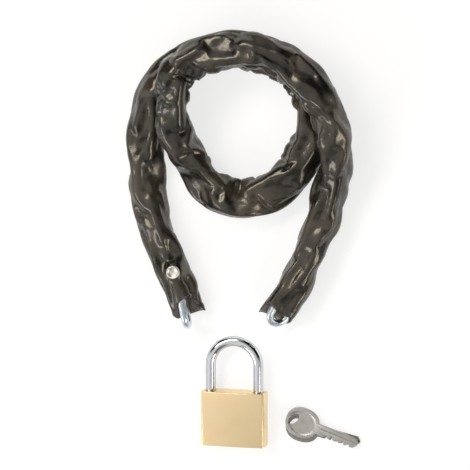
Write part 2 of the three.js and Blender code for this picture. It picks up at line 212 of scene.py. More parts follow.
def prism(name, outline, low, high):
    """A flat outline in X and Y, drawn out along Z."""
    count = len(outline)
    verts = [(x, y, z) for z in (low, high) for x, y in outline]
    faces = [tuple(range(count))[::-1], tuple(range(count, 2 * count))]
    faces += [(i, (i + 1) % count, count + (i + 1) % count, count + i) for i in range(count)]
    return new_object(name, verts, faces, smooth=False)


def bevel(obj, width, segments, degrees):
    """Rounds the edges where two faces meet at more than that angle."""
    tool = obj.modifiers.new("bevel", "BEVEL")
    tool.width = width
    tool.segments = segments
    tool.limit_method = "ANGLE"
    tool.angle_limit = math.radians(degrees)
    return settle(obj)


def cut(obj, *tools):
    """Takes the tools' shapes out of a body and deletes the tools."""
    for tool in tools:
        step = obj.modifiers.new("cut", "BOOLEAN")
        step.operation = "DIFFERENCE"
        step.solver = "EXACT"
        step.object = tool
    obj = settle(obj)
    for tool in tools:
        data = tool.data
        bpy.data.objects.remove(tool)
        bpy.data.meshes.remove(data)
    return obj


# ---- The chain's links -----------------------------------------------------------------------

LINK_WIRE = 2.85 * MM
LINK_BEND = 7.75 * MM
CAD_WIRE = 2.8 * MM  # the wire's radius in the CAD links, which are a little slimmer
WELD_REACH = 1.3 * MM
WELD_SWELL = 0.1  # share of the radius
END_LINKS = {"chain_link_01": "left_end_link", "chain_link_27": "right_end_link"}


def links(first, last):
    """Names of the CAD links from one number to another."""
    return [f"chain_link_{number:02d}" for number in range(first, last + 1)]


def link_place(node):
    """Centre, long axis, wide axis and half length of a CAD link, from its own vertices."""
    data = frame["nodes"][node].data
    points = np.array([v.co for v in data.vertices], float)
    points = np.unique(points.round(7), axis=0)
    centre = points.mean(0)
    axes = np.linalg.eigh(np.cov((points - centre).T))[1]
    long_axis, wide_axis = axes[:, 2], axes[:, 1]
    half = np.abs((points - centre) @ long_axis).max()
    return Vector(centre), Vector(long_axis), Vector(wide_axis), float(half)


def stadium(straight, radius, bend_steps, straight_steps):
    """Points round an oval, long along its first axis: two half circles and straight sides."""
    points = []
    for end in (1, -1):
        for i in range(bend_steps):
            angle = -math.pi / 2 + math.pi * i / bend_steps
            reach = straight + radius * math.cos(angle)
            points.append((end * reach, end * radius * math.sin(angle)))
        for i in range(straight_steps):
            points.append((end * straight * (1 - 2 * i / straight_steps), end * radius))
    return points


def link_mesh(name, nodes, bend_steps=14, straight_steps=10, sides=16):
    """Round-wire oval links, with a weld on one side of each, at the places of CAD links."""
    verts, faces = [], []
    for node in nodes:
        centre, along, wide, half = link_place(node)
        thin = along.cross(wide)
        straight = half - CAD_WIRE - LINK_BEND
        outline = stadium(straight, LINK_BEND, bend_steps, straight_steps)
        first = len(verts)
        for i, (u, v) in enumerate(outline):
            before, after = outline[i - 1], outline[(i + 1) % len(outline)]
            tangent = Vector((after[0] - before[0], after[1] - before[1])).normalized()
            out = Vector((tangent[1], -tangent[0]))
            weld = math.exp(-((u / WELD_REACH) ** 2)) if v > 0 else 0
            radius = LINK_WIRE * (1 + WELD_SWELL * weld)
            for j in range(sides):
                angle = 2 * math.pi * j / sides
                a = u + out[0] * radius * math.cos(angle)
                b = v + out[1] * radius * math.cos(angle)
                verts.append(centre + along * a + wide * b + thin * (radius * math.sin(angle)))
        faces += [tuple(first + k for k in f) for f in grid_faces(len(outline), sides, True)]
    return facing_out(new_object(name, verts, faces))


# ---- Sleeve ----------------------------------------------------------------------------------

# The sleeve's middle line from its left mouth to its right mouth, in millimetres.
ROUTE = [
    (-42, -64, 13), (-48, -50, 13), (-60, -23, 13), (-71, 8, 12.7), (-78, 39, 12.5),
    (-79, 62, 12.5), (-77, 86, 12.5), (-69, 109, 12.5), (-54, 129, 12.5), (-30, 142, 12.5),
    (-2, 145, 12.5), (25, 140, 12.5), (45, 127, 12.5), (55, 107, 12.5), (55, 86, 12.5),
    (46, 67, 12.5), (35, 50, 12.5), (20, 37.5, 12.5), (3, 31.5, 12.5), (-15, 33, 12.5),
    (-30, 43, 13), (-41, 59, 16.5), (-49, 79, 24.5), (-54, 101, 33), (-52, 120, 37),
    (-42, 136, 38.4), (-25, 146, 38.4), (-4, 150, 38.4), (17, 150, 38.4), (37, 144, 38.4),
    (54, 131, 38.4), (67, 112, 38), (74, 91, 34.5), (76, 72, 27), (73, 54, 18.5),
    (67, 36, 13), (59, 11, 12.5), (48, -20, 12.5), (37, -42, 12.5), (22, -65, 12.5),
]
RINGS = 440  # cross-sections along the tube
AROUND = 44  # points round each of them
FILM = 0.7 * MM  # thickness
FILM_LOWEST = 0.55 * MM  # least height of the film's middle over the table
SIM_SCALE = 10  # the cloth settles at ten times its size
SIM_FRAMES = 26
SIM_SHRINK = (-0.015, -0.27)  # how far the taut and the slack side grow
SIM_DENTS = (0.28, 0.16)  # depth of the first dents and pleats, as shares of the radius
SIM_GRAVITY = 0.3
DRIFT_TAKEN_BACK = 0.9  # share of the drape's sideways drift
LOOP_SAG = 1.9 * MM  # how far the loop's film lies towards the padlock
LOWER_ARC = 0.48  # where the loop's lowest point is, as a share of the length
ARC_SLIMMED = 0.15  # share of the film's width taken off there
CLEARANCE = 0.9 * MM  # film to link
PROBE = 13 * MM  # start of the rays that look for a link at rest
TURNED_PROBE = 17 * MM  # and for an end link at its limits
LINK_REACH = 24 * MM  # stretch of film to each side of a link's middle that can touch it
MOUTH_REACH = 34 * MM  # stretch of film that the cut mouth is pulled back along
# Round each mouth: angles in degrees, and how far the lip is pulled back there in millimetres.
MOUTHS = (
    (0, (0, 45, 90, 125, 160, 180, 200, 340, 360), (4, 11, 15, 17, 8, 0, 0, 1, 4)),
    (-1, (0, 40, 90, 135, 165, 180, 300, 330, 360), (14, 12, 12, 14, 6, 0, 0, 6, 14)),
)


def route_line(count):
    """Evenly spaced points of a centripetal Catmull-Rom curve through ROUTE, and their places.

    A point's place is its distance from the left mouth along the curve.
    """
    knots = np.array(ROUTE, float) * MM
    steps = np.linalg.norm(np.diff(knots, axis=0), axis=1) ** 0.5
    t = np.concatenate([[0], np.cumsum(steps)])
    ends = np.vstack([2 * knots[0] - knots[1], knots, 2 * knots[-1] - knots[-2]])
    t = np.concatenate([[-steps[0]], t, [t[-1] + steps[-1]]])
    fine = []
    for i in range(1, len(ends) - 2):
        u = np.linspace(t[i], t[i + 1], 60, endpoint=False)[:, None]
        p = ends[i - 1 : i + 3]
        k = t[i - 1 : i + 3]
        a1 = (k[1] - u) / (k[1] - k[0]) * p[0] + (u - k[0]) / (k[1] - k[0]) * p[1]
        a2 = (k[2] - u) / (k[2] - k[1]) * p[1] + (u - k[1]) / (k[2] - k[1]) * p[2]
        a3 = (k[3] - u) / (k[3] - k[2]) * p[2] + (u - k[2]) / (k[3] - k[2]) * p[3]
        b1 = (k[2] - u) / (k[2] - k[0]) * a1 + (u - k[0]) / (k[2] - k[0]) * a2
        b2 = (k[3] - u) / (k[3] - k[1]) * a2 + (u - k[1]) / (k[3] - k[1]) * a3
        fine.append((k[2] - u) / (k[2] - k[1]) * b1 + (u - k[1]) / (k[2] - k[1]) * b2)
    fine = np.vstack([*fine, knots[-1:]])
    along = np.concatenate([[0], np.cumsum(np.linalg.norm(np.diff(fine, axis=0), axis=1))])
    at = np.linspace(0, along[-1], count)
    return np.stack([np.interp(at, along, fine[:, k]) for k in range(3)], axis=1), at


def smoothstep(x, low, high):
    t = np.clip((x - low) / (high - low), 0, 1)
    return t * t * (3 - 2 * t)


def sleeve_start():
    """The sleeve's rings laid along the route, and how loose each of their points is."""
    line, at = route_line(RINGS)
    tangent = np.gradient(line, axis=0)
    tangent /= np.linalg.norm(tangent, axis=1)[:, None]
    side = np.cross([0, 0, 1], tangent)
    side /= np.linalg.norm(side, axis=1)[:, None]
    top = np.cross(tangent, side)
    length = at[-1]
    from_mouth = np.minimum(at, length - at)
    loose = smoothstep(from_mouth, 0.0, 0.17)
    lower_arc = np.exp(-(((at / length - LOWER_ARC) / 0.055) ** 2))
    half_width = (12.2 + 1.2 * loose + 2.6 * lower_arc) * MM
    half_height = (10.4 + 1.6 * loose) * MM
    angle = 2 * np.pi * np.arange(AROUND) / AROUND
    twist = 0.5 * np.sin(2 * np.pi * at / 0.21) * smoothstep(from_mouth, 0.0, 0.06)
    turn = angle[None, :] + twist[:, None]
    # The film is slack where the tube's bend squeezes it, on the inside of a turn.
    bend = np.gradient(np.unwrap(np.arctan2(tangent[:, 1], tangent[:, 0])), at)
    bend = np.convolve(np.pad(bend, 12, "edge"), np.ones(25) / 25, "valid")
    squeezed = 1 / (1 - bend[:, None] * np.cos(turn) * half_width[:, None]) - 1
    slack = np.clip(squeezed / 0.3, 0, 1) * (from_mouth[:, None] > 0.01)
    # Shallow dents lie all over, and narrow pleats run round the tube where it is slack.
    grown = np.ones((RINGS, AROUND))
    for i in range(RINGS):
        pleat = abs(noise.noise(Vector((at[i] / 0.017, 4.0, 0.0))))
        pleat = math.exp(-((pleat / 0.12) ** 2))
        for j in range(AROUND):
            p = Vector((at[i] / 0.022, 1.5 * math.cos(angle[j]), 1.5 * math.sin(angle[j])))
            dent = SIM_DENTS[0] * noise.noise(p) - SIM_DENTS[1] * slack[i, j] * pleat
            grown[i, j] += dent * min(1, from_mouth[i] / 0.02)
    laid = (
        line[:, None, :]
        + (grown * np.cos(turn) * half_width[:, None])[:, :, None] * side[:, None, :]
        + (grown * np.sin(turn) * half_height[:, None])[:, :, None] * top[:, None, :]
    )
    return laid, slack, line


def draped(laid, slack):
    """Lets the tube settle on the chain and the table as a stiff film, and returns its rings."""
    tube = new_object("falling_tube", laid.reshape(-1, 3) * SIM_SCALE, grid_faces(RINGS, AROUND))
    facing_out(tube)
    pins = tube.vertex_groups.new(name="pins")
    ends = [i * AROUND + j for i in (0, 1, RINGS - 2, RINGS - 1) for j in range(AROUND)]
    pins.add(ends, 1.0, "REPLACE")
    loose = tube.vertex_groups.new(name="loose")
    for index, weight in enumerate(slack.reshape(-1)):
        loose.add([index], float(weight), "REPLACE")
    chain = link_mesh("falling_chain", links(1, 27), bend_steps=6, straight_steps=3, sides=8)
    chain.data.transform(Matrix.Scale(SIM_SCALE, 4))
    table = new_object(
        "falling_table", [(-3, -3, 0), (3, -3, 0), (3, 3, 0), (-3, 3, 0)], [(0, 1, 2, 3)]
    )
    for obj in (chain, table):
        obj.modifiers.new("collision", "COLLISION")
        obj.collision.thickness_outer = 0.001
        obj.collision.thickness_inner = 0.02
        obj.collision.cloth_friction = 6
        obj.collision.damping = 0.5
    cloth = tube.modifiers.new("cloth", "CLOTH")
    how = cloth.settings
    how.vertex_group_mass = "pins"
    how.vertex_group_shrink = "loose"
    how.shrink_min = SIM_SHRINK[0]
    how.shrink_max = SIM_SHRINK[1]
    how.effector_weights.gravity = SIM_GRAVITY
    how.quality = 7
    how.mass = 0.12
    how.tension_stiffness = 45
    how.compression_stiffness = 45
    how.shear_stiffness = 25
    how.bending_stiffness = 3
    how.tension_damping = 12
    how.compression_damping = 12
    how.shear_damping = 12
    how.bending_damping = 2.0
    how.air_damping = 2
    bump = cloth.collision_settings
    bump.use_collision = True
    bump.collision_quality = 2
    bump.distance_min = 0.011
    bump.use_self_collision = False
    cloth.point_cache.frame_start = 1
    cloth.point_cache.frame_end = SIM_FRAMES
    for number in range(1, SIM_FRAMES + 1):
        scene.frame_set(number)
    seen = tube.evaluated_get(bpy.context.evaluated_depsgraph_get())
    found = np.zeros(RINGS * AROUND * 3, np.float32)
    seen.data.vertices.foreach_get("co", found)
    scene.frame_set(1)
    for obj in (tube, chain, table):
        data = obj.data
        bpy.data.objects.remove(obj)
        bpy.data.meshes.remove(data)
    return found.reshape(RINGS, AROUND, 3).astype(float) / SIM_SCALE


def centred(rings, line):
    """Carries the draped tube back over the chain where its slack has pushed it outwards.

    The loop's film then lies a little towards the padlock, and is slimmer in its lowest arc.
    """
    width = RINGS // 16
    drift = rings.mean(1)[:, :2] - line[:, :2]
    padded = np.pad(drift, ((width, width), (0, 0)), "edge")
    window = np.ones(2 * width + 1) / (2 * width + 1)
    drift = np.stack([np.convolve(padded[:, k], window, "valid") for k in range(2)], axis=1)
    near_mouth = np.minimum(np.arange(RINGS), np.arange(RINGS)[::-1])
    held = smoothstep(near_mouth, 0, RINGS * 0.08)[:, None]
    rings = rings.copy()
    rings[:, :, :2] -= (DRIFT_TAKEN_BACK * held * drift)[:, None, :]
    share = np.arange(RINGS) / RINGS
    slimmer = 1 - ARC_SLIMMED * np.exp(-(((share - LOWER_ARC) / 0.07) ** 2))[:, None, None]
    middle = line[:, None, :2]
    rings[:, :, :2] = middle + (rings[:, :, :2] - middle) * slimmer
    in_loop = smoothstep(near_mouth, RINGS * 0.15, RINGS * 0.27)
    rings[:, :, 1] -= LOOP_SAG * in_loop[:, None]
    return rings


def link_poses():
    """Every link as it lies, and each end link also turned to its joint's two limits."""
    found = [(node, None) for node in links(1, 27)]
    for node, body in END_LINKS.items():
        joint = next(j for j in frame["joints"] if j["child"] == body)
        pivot = Matrix.Translation(joint["pos_m"])
        for degrees in joint["range_deg"]:
            turn = Matrix.Rotation(math.radians(degrees), 4, Vector(joint["axis"]))
            found.append((node, pivot @ turn @ pivot.inverted()))
    return found


def over_chain(rings, line):
    """Holds the film outside the links that lie in it, seen from its own middle line.

    A ray runs in towards the line through each point of the film, and finds the link's surface.
    """
    reach = int(LINK_REACH / np.linalg.norm(np.diff(line, axis=0), axis=1).mean())
    least = np.zeros((RINGS, AROUND))
    away = rings - line[:, None, :]
    tangent = np.gradient(line, axis=0)
    tangent /= np.linalg.norm(tangent, axis=1)[:, None]
    lean = (away * tangent[:, None, :]).sum(2)[:, :, None] * tangent[:, None, :]
    away -= lean
    radius = np.linalg.norm(away, axis=2)
    way = away / np.maximum(radius, 1e-9)[:, :, None]
    for node, turn in link_poses():
        start = PROBE if turn is None else TURNED_PROBE
        link = link_mesh("probe_link", [node])
        if turn is not None:
            link.data.transform(turn)
        data = link.data
        corners = [v.co.copy() for v in data.vertices]
        tree = BVHTree.FromPolygons(corners, [f.vertices for f in data.polygons])
        bpy.data.objects.remove(link)
        bpy.data.meshes.remove(data)
        middle = np.array(link_place(node)[0])
        nearest = int(np.argmin(np.linalg.norm(line - middle, axis=1)))
        for i in range(max(0, nearest - reach), min(RINGS, nearest + reach + 1)):
            for j in range(AROUND):
                ray = Vector(way[i, j])
                hit = tree.ray_cast(Vector(line[i]) + ray * start, -ray, start)
                if hit[0] is not None:
                    least[i, j] = max(least[i, j], start - hit[3])
    for axis in (0, 1):
        least = np.maximum(least, np.maximum(np.roll(least, 1, axis), np.roll(least, -1, axis)))
    wanted = np.where(least > 0, least + CLEARANCE, 0)
    held = np.maximum(radius, wanted)
    return line[:, None, :] + lean + way * held[:, :, None]


def cut_back(rings):
    """Pulls each mouth's upper lip back along the tube, so that its end link shows."""
    rings = rings.copy()
    count, sides = rings.shape[:2]
    step = np.linalg.norm(np.diff(rings.mean(1), axis=0), axis=1).mean()
    degrees = 360 * np.arange(sides) / sides
    reach = MOUTH_REACH / step
    for mouth, marks, pull in MOUTHS:
        moved = np.interp(degrees, marks, pull) * MM / step
        order = np.arange(count) if mouth == 0 else np.arange(count)[::-1]
        near = order[: int(reach) + 1]
        rows = np.arange(len(near))
        columns = rings[near]
        for j in range(sides):
            at = rows + moved[j] * (1 - rows / reach)
            for k in range(3):
                rings[near, j, k] = np.interp(at, rows, columns[:, j, k])
    return rings


def thick_tube(name, rings):
    """A closed tube wall of the film's thickness round rings of points."""
    along = np.gradient(rings, axis=0)
    around = np.roll(rings, -1, axis=1) - np.roll(rings, 1, axis=1)
    normal = np.cross(around, along)
    normal /= np.maximum(np.linalg.norm(normal, axis=2)[:, :, None], 1e-12)
    middle = rings.mean(1, keepdims=True)
    if ((rings - middle) * normal).sum() < 0:
        normal = -normal
    count, sides = rings.shape[:2]
    outer, inner = rings + normal * FILM / 2, rings - normal * FILM / 2
    verts = np.vstack([outer.reshape(-1, 3), inner.reshape(-1, 3)])
    shell = grid_faces(count, sides)
    total = count * sides
    faces = shell + [tuple(total + k for k in f[::-1]) for f in shell]
    for start, turn in ((0, 1), (total - sides, -1)):
        for j in range(sides):
            a, b = start + j, start + (j + 1) % sides
            faces.append((a, total + a, total + b, b)[::turn])
    obj = facing_out(new_object(name, verts, faces))
    inside = np.zeros(len(faces), np.int32)
    inside[len(shell) : 2 * len(shell)] = 1
    obj.data.polygons.foreach_set("material_index", inside)
    return obj


# ---- Materials -------------------------------------------------------------------------------


class Nodes:
    """One procedural material on a Principled shader."""

    def __init__(self, name, color, roughness, metallic=0.0, **sockets):
        self.material = bpy.data.materials.new(name)
        self.material.use_nodes = True
        self.tree = self.material.node_tree
        self.shader = self.tree.nodes["Principled BSDF"]
        self.shader.inputs["Base Color"].default_value = (*color, 1)
        self.shader.inputs["Roughness"].default_value = roughness
        self.shader.inputs["Metallic"].default_value = metallic
        for socket, value in sockets.items():
            self.shader.inputs[socket.replace("_", " ")].default_value = value
        place = self.tree.nodes.new("ShaderNodeTexCoord")
        self.place = place.outputs["Object"]

    def add(self, kind, **settings):
        node = self.tree.nodes.new("ShaderNode" + kind)
        for key, value in settings.items():
            setattr(node, key, value)
        return node

    def link(self, out, socket):
        self.tree.links.new(out, socket)

    def stretched(self, scale, turn=0.0):
        """Object coordinates, scaled per axis, for brushed and drawn grain."""
        node = self.add("Mapping")
        node.inputs["Scale"].default_value = scale
        node.inputs["Rotation"].default_value = (0, 0, turn)
        self.link(self.place, node.inputs["Vector"])
        return node.outputs["Vector"]

    def noise(self, where, scale, detail=4.0, distortion=0.0):
        node = self.add("TexNoise")
        node.inputs["Scale"].default_value = scale
        node.inputs["Detail"].default_value = detail
        node.inputs["Distortion"].default_value = distortion
        self.link(where, node.inputs["Vector"])
        return node.outputs["Fac"]

    def ramp(self, value, low, high, a, b):
        """Maps a noise value between low and high to two colours or two numbers."""
        if isinstance(a, tuple):
            node = self.add("ValToRGB")
            node.color_ramp.elements[0].position = low
            node.color_ramp.elements[1].position = high
            node.color_ramp.elements[0].color = (*a, 1)
            node.color_ramp.elements[1].color = (*b, 1)
            self.link(value, node.inputs["Fac"])
            return node.outputs["Color"]
        node = self.add("MapRange")
        for socket, number in zip(("From Min", "From Max", "To Min", "To Max"), (low, high, a, b)):
            node.inputs[socket].default_value = number
        self.link(value, node.inputs["Value"])
        return node.outputs["Result"]

    def mixed(self, factor, a, b, blend="MIX"):
        node = self.add("Mix", data_type="RGBA", blend_type=blend)
        for value, socket in ((factor, 0), (a, 6), (b, 7)):
            if isinstance(value, (tuple, float, int)):
                value = (*value, 1) if isinstance(value, tuple) else value
                node.inputs[socket].default_value = value
            else:
                self.link(value, node.inputs[socket])
        return node.outputs[2]

    def bump(self, height, strength, distance):
        node = self.add("Bump")
        node.inputs["Strength"].default_value = strength
        node.inputs["Distance"].default_value = distance
        self.link(height, node.inputs["Height"])
        self.link(node.outputs["Normal"], self.shader.inputs["Normal"])

    def color(self, out):
        self.link(out, self.shader.inputs["Base Color"])

    def roughness(self, out):
        self.link(out, self.shader.inputs["Roughness"])


def vinyl(name, dark, light):
    """Smoky, glossy, slightly see-through film, clouded with brown."""
    m = Nodes(name, dark, 0.16, IOR=1.6, Specular_IOR_Level=0.8)
    cloud = m.noise(m.place, 38, 5, 0.6)
    m.color(m.ramp(cloud, 0.4, 0.75, dark, light))
    m.roughness(m.ramp(m.noise(m.place, 70, 4), 0.3, 0.75, 0.17, 0.3))
    m.shader.inputs["Alpha"].default_value = 0.82
    m.shader.inputs["Specular Tint"].default_value = (1.0, 0.93, 0.8, 1)
    m.bump(m.noise(m.place, 200, 3), 0.1, 0.0005)
    return m.material


def zinc():
    """Bluish zinc plate on the links, lighter and duller in patches."""
    m = Nodes("zinc_plate", (0.66, 0.71, 0.77), 0.3, 1.0)
    tint = m.noise(m.place, 90, 4)
    m.color(m.ramp(tint, 0.3, 0.7, (0.55, 0.62, 0.70), (0.78, 0.82, 0.86)))
    m.roughness(m.ramp(m.noise(m.place, 420, 5), 0.3, 0.7, 0.2, 0.42))
    m.bump(m.noise(m.place, 600, 4), 0.15, 0.0002)
    return m.material


def nickel():
    """The rivet's warm, slightly rough nickel."""
    m = Nodes("pale_nickel", (0.8, 0.76, 0.68), 0.25, 1.0)
    m.color(m.ramp(m.noise(m.place, 300, 4), 0.3, 0.7, (0.68, 0.63, 0.54), (0.86, 0.83, 0.76)))
    m.roughness(m.ramp(m.noise(m.place, 900, 4), 0.3, 0.7, 0.3, 0.46))
    m.bump(m.noise(m.place, 1200, 3), 0.08, 0.0001)
    return m.material


def brass():
    """Solid brass, brushed along the padlock's height."""
    m = Nodes("brass", (0.93, 0.72, 0.42), 0.4, 0.85)
    brushed = m.noise(m.stretched((240.0, 9.0, 240.0)), 9, 6)
    warm = m.ramp(m.noise(m.place, 30, 3), 0.3, 0.7, (0.92, 0.70, 0.40), (0.96, 0.76, 0.47))
    m.color(m.mixed(m.ramp(brushed, 0.3, 0.7, 0.0, 0.1), warm, (0.78, 0.56, 0.30)))
    m.roughness(m.ramp(brushed, 0.25, 0.75, 0.36, 0.46))
    m.bump(brushed, 0.03, 0.00008)
    return m.material


def chrome():
    """The shackle's bright chrome, with faint wear and painted dark edges."""
    m = Nodes("chrome", (0.80, 0.81, 0.84), 0.07, 1.0)
    # A dark edge tint darkens the chrome's reflection at grazing angles, painting dark outlines
    # along the bar.
    m.shader.inputs["Specular Tint"].default_value = (0.1, 0.1, 0.11, 1)
    m.roughness(m.ramp(m.noise(m.place, 500, 5), 0.4, 0.8, 0.05, 0.14))
    m.color(m.ramp(m.noise(m.place, 60, 3), 0.3, 0.7, (0.77, 0.79, 0.82), (0.83, 0.84, 0.87)))
    m.bump(m.noise(m.place, 1500, 3), 0.03, 0.00005)
    return m.material


def key_nickel(name, painted_shade):
    """The keys' satin nickel, brushed along the blade and worn darker in patches; a painted shade
    below one darkens the whole key.
    """
    m = Nodes(name, (0.55 * painted_shade, 0.53 * painted_shade, 0.5 * painted_shade), 0.34, 1.0)
    brushed = m.noise(m.stretched((60.0, 700.0, 300.0), math.radians(17)), 5, 6)
    worn = m.ramp(m.noise(m.place, 260, 5), 0.35, 0.7, (0.46, 0.44, 0.41), (0.56, 0.535, 0.50))
    worn = m.mixed(m.ramp(brushed, 0.3, 0.7, 0.0, 0.25), worn, (0.66, 0.63, 0.59))
    # Multiplies the whole key's colour by the painted shade, which darkens a key lying in the
    # other key's shadow.
    m.color(m.mixed(1.0, worn, (painted_shade, painted_shade, painted_shade), "MULTIPLY"))
    m.roughness(m.ramp(brushed, 0.25, 0.75, 0.26, 0.46))
    m.bump(brushed, 0.15, 0.0001)
    return m.material


def steel(name="steel", color=(0.5, 0.5, 0.51)):
    """Mottled steel for the padlock's inner parts."""
    m = Nodes(name, color, 0.4, 1.0)
    darker = tuple(0.7 * c for c in color)
    m.color(m.ramp(m.noise(m.place, 500, 4), 0.3, 0.7, darker, color))
    m.roughness(m.ramp(m.noise(m.place, 900, 4), 0.3, 0.7, 0.3, 0.5))
    m.bump(m.noise(m.place, 1500, 3), 0.08, 0.0001)
    return m.material


def dress(obj, material):
    """Gives a piece its material."""
    obj.data.materials.clear()
    obj.data.materials.append(material)
    return obj


# ---- Build -----------------------------------------------------------------------------------

VINYL = vinyl("smoky_vinyl", (0.006, 0.0055, 0.005), (0.072, 0.058, 0.041))
VINYL_INSIDE = vinyl("smoky_vinyl_inside", (0.05, 0.034, 0.022), (0.11, 0.075, 0.048))
ZINC, NICKEL, BRASS = zinc(), nickel(), brass()
CHROME, STEEL = chrome(), steel()
# The second copy is the same nickel darkened as painted shade, for the lower key in the upper
# key's shadow.
KEY_NICKEL, KEY_PAINTED_SHADE = key_nickel("satin_nickel", 1.0), key_nickel("nickel_painted_shade", 0.6)
SPRING = steel("spring_steel", (0.56, 0.57, 0.6))

# The chain in the sleeve, by body, and then its two bare end links.
for body, nodes in (
    ("chain", links(4, 24)), ("left_tail", links(2, 3)), ("right_tail", links(25, 26)),
):
    piece = dress(link_mesh(f"links_of_{body}", nodes), ZINC)
    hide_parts(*nodes)
    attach(piece, body)
ends = {}
for node, body in END_LINKS.items():
    ends[node] = dress(link_mesh(f"{body}_ring", [node], 20, 14, 24), ZINC)
    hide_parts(node)
    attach(ends[node], body)

# The rivet, from its dished head to the end of its shank.
low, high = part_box("rivet")
RIVET_AT = ((low[0] + high[0]) / 2, (low[1] + high[1]) / 2)
HEAD_BASE = high[2] - 2.1 * MM
SHANK = 1.2 * MM
# Radius and height over the head's base, in millimetres, from the rim to the dished middle.
HEAD = (
    (4.9, 0), (5.25, 0.3), (5.3, 0.8), (5.1, 1.4), (4.7, 1.85), (4.25, 1.95),
    (3.8, 1.7), (3.2, 1.25), (2.4, 0.95), (1.2, 0.8), (0, 0.78),
)
head = [(0, low[2]), (SHANK, low[2]), (SHANK, HEAD_BASE)]
head += [(radius * MM, HEAD_BASE + height * MM) for radius, height in HEAD]
rivet = dress(turned("rivet_head", head, 64, (*RIVET_AT, 0)), NICKEL)
sharpen(rivet, 50)
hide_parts("rivet")
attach(rivet, "left_tail")


# ---- The padlock -----------------------------------------------------------------------------

# The middle of its bottom face, and its measures from there, in millimetres: X across, Y up
# the body, Z through it.
LOCK_AT = Vector((-8.5, -164.8, 8.6))
LOCK_HEIGHT = 42.5
LEG = 18.9  # middle of the body to the middle of each leg of the shackle
PIN_ROWS = (4, 8, 12, 16, 20)


def lock_point(x, y, z):
    """A point of the padlock in the frame, in metres."""
    return (LOCK_AT + Vector((x, y, z))) * MM


def lock_block(name, x, y, z):
    return block(name, lock_point(x[0], y[0], z[0]), lock_point(x[1], y[1], z[1]))


def lock_rod(name, radius, low, high, at, axis, sides):
    return rod(name, radius * MM, low * MM, high * MM, lock_point(*at), axis, sides)


def quadratic(a, control, b, steps):
    """Points of a quadratic curve, without its last one."""
    points = []
    for i in range(steps):
        t = i / steps
        shares = ((1 - t) ** 2, 2 * t * (1 - t), t * t)
        points.append(tuple(sum(s * v for s, v in zip(shares, at)) for at in zip(a, control, b)))
    return points


def padlock_case():
    """The brass body, slightly crowned on its two faces, with its bores and slots."""
    side, half, crown, corner = 25, 8.5, 0.9, 2.2
    edge, inner = half - crown, side - corner
    outline = quadratic((-side, edge - corner), (-side, edge), (-inner, edge), 7)
    outline += quadratic((-inner, edge), (0, half + crown), (inner, edge), 24)
    outline += quadratic((inner, edge), (side, edge), (side, edge - corner), 7)
    outline += [(side, edge - corner)]
    outline += [(-x, -z) for x, z in outline]
    verts = [lock_point(x, y, z) for y in (0, LOCK_HEIGHT) for x, z in outline]
    count = len(outline)
    faces = [tuple(range(count)), tuple(range(count, 2 * count))[::-1]]
    faces += [(i, count + i, count + (i + 1) % count, (i + 1) % count) for i in range(count)]
    case = facing_out(new_object("padlock_case", verts, faces))
    case = bevel(case, 0.55 * MM, 3, 50)
    tools = [
        lock_rod("toe_hole", 4.2, 29.8, 44, (-LEG, 0, 0), "Y", 64),
        lock_rod("heel_hole", 4.2, 5, 44, (LEG, 0, 0), "Y", 64),
        lock_rod("plug_bore", 6.2, -1, 37.4, (0, 0, 0), "Y", 64),
        lock_block("bolt_way", (-LEG, 11.5), (31.8, 37.4), (-3.8, 3.8)),
        lock_rod("heel_pin_hole", 1.35, -17, 5.3, (14.8, 31.6, 0), "Z", 24),
        lock_rod("plug_pin_hole", 1.05, -17, 5.3, (6.4, 23.1, 0), "Z", 24),
        lock_block("strip_slot", (-30, -21.7), (1.1, 22.9), (-2.7, 2.7)),
    ]
    tools += [lock_rod(f"chamber_{y}", 1.6, -23.2, 0, (0, y, 0), "X", 20) for y in PIN_ROWS]
    case = cut(case, *tools)
    sharpen(case, 30)
    dress(case, BRASS)
    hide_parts("padlock_body")
    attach(case, "padlock")


def shackle_bar():
    """One bar from the toe, over the arch, down the heel, its neck and its knob."""
    arch_y, full, neck = 62.9, 3.75, 2.5
    toe_end, heel_start, leg_steps, arch_steps = 38, 34.2, 12, 56
    # Each point is X, Y and the bar's radius there.
    toe = ((30.6, 2.9), (30.8, 3.2), (31.5, full), (34, full), (toe_end, full))
    points = [(-LEG, y, radius) for y, radius in toe]
    for i in range(1, leg_steps + 1):
        points.append((-LEG, toe_end + (arch_y - toe_end) * i / leg_steps, full))
    for i in range(1, arch_steps):
        angle = math.pi - math.pi * i / arch_steps
        points.append((LEG * math.cos(angle), arch_y + LEG * math.sin(angle), full))
    for i in range(leg_steps + 1):
        points.append((LEG, arch_y - (arch_y - heel_start) * i / leg_steps, full))
    heel = (
        (33.6, 3.6), (33.2, 3.2), (33.0, neck), (26, neck), (19.2, neck), (19.0, 3.3),
        (18.7, full), (16.5, full), (16.2, 3.5), (16.0, 3.1),
    )
    points += [(LEG, y, radius) for y, radius in heel]
    line = [lock_point(x, y, 0) for x, y, _ in points]
    radii = [radius * MM for _, _, radius in points]
    bar = swept("shackle_bar", line, radii, 48, Vector((0, 0, 1)))
    facing_out(bar)
    wedge = [(-16.95, 35.7), (-14, 29.8), (-14, 37.6), (-16.95, 37.6)]
    notch = prism("notch", [lock_point(x, y, 0)[:2] for x, y in wedge], 2 * MM, 15 * MM)
    facing_out(notch)
    bar = cut(bar, notch)
    sharpen(bar, 32)
    dress(bar, CHROME)
    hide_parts("shackle")
    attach(bar, "shackle")


